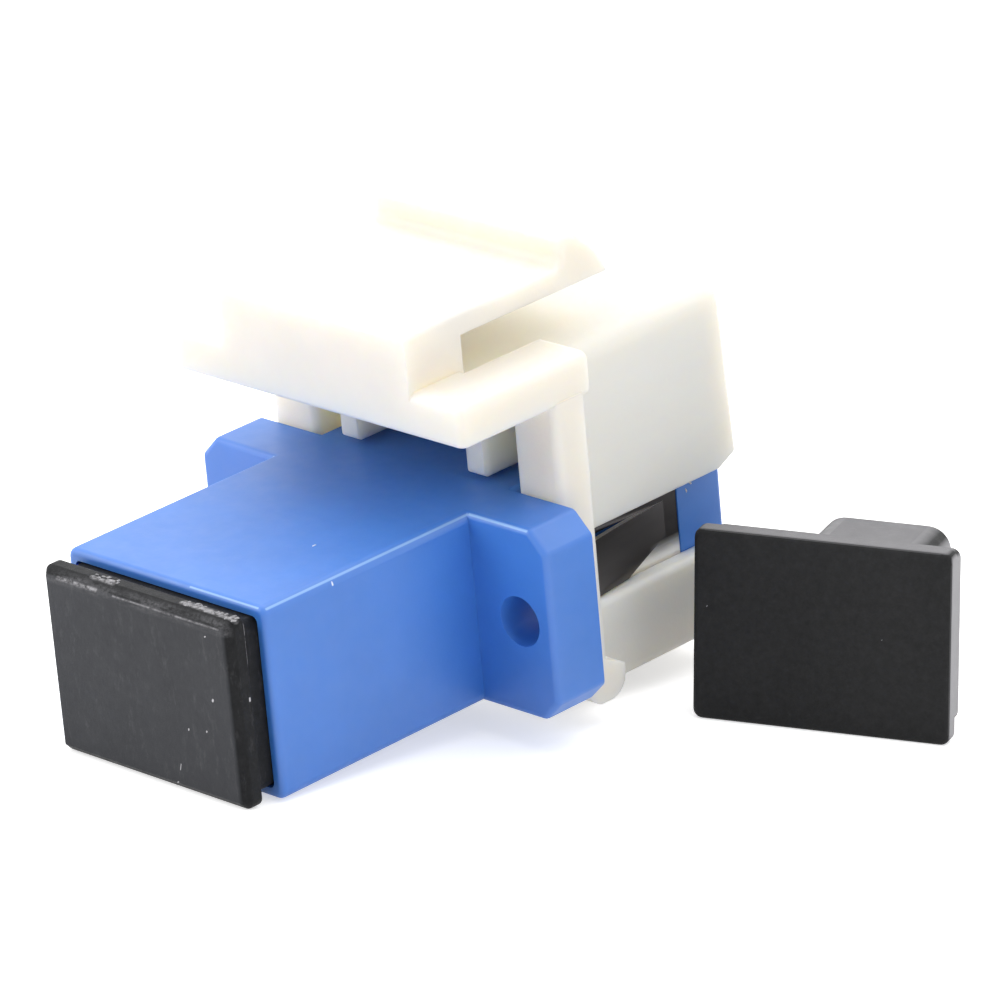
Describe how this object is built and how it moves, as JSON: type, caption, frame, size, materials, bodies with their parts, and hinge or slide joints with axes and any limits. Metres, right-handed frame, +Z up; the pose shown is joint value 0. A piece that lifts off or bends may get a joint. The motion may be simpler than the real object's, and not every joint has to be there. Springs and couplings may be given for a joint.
{
  "type": "keystone fibre coupler",
  "caption": "Square-plug fibre coupler with a ceramic sleeve, held by a steel spring clip in a white snap-in keystone frame with a release latch and dust caps.",
  "frame": {"origin": "middle of the split sleeve, on the fibre axis", "axes": "+Y along the fibre axis towards the frame's nose (wall plate side), +Z up towards the release latch, +X to the right seen from the plain port"},
  "size_m": [0.033, 0.0365, 0.0231],
  "materials": {
    "white_plastic": "moulded, satin",
    "latch_plastic": "moulded, satin",
    "blue_plastic": "moulded, satin, slightly translucent",
    "blue_front_plastic": "moulded, satin, slightly translucent",
    "spring_steel": "rolled strip, bright",
    "insert_plastic": "moulded",
    "sleeve_ceramic": "polished ceramic",
    "black_cap": "moulded, fine matt, scuffed",
    "black_cap_loose": "moulded, fine matt, scuffed"
  },
  "bodies": {
    "coupler": {"keystone_frame": "white_plastic", "rear_shell": "blue_plastic", "front_shell": "blue_front_plastic", "spring_clip": "spring_steel", "front_insert": "insert_plastic", "rear_insert": "insert_plastic", "split_sleeve": "sleeve_ceramic", "front_dust_cap": "black_cap_loose"},
    "latch": {"latch_arm": "latch_plastic"},
    "rear_cap": {"rear_dust_cap": "black_cap"}
  },
  "joints": [
    {"name": "latch_flex", "type": "hinge", "parent": "coupler", "child": "latch", "pos_m": [0, -0.0009, 0.01273], "axis": [-1, 0, 0], "range_deg": [0, 12], "stiffness_Nm_per_rad": 0.002, "springref_deg": -5.73},
    {"name": "rear_cap_pull", "type": "slide", "parent": "coupler", "child": "rear_cap", "axis": [0, -1, 0], "range_m": [0, 0.0084]}
  ]
}
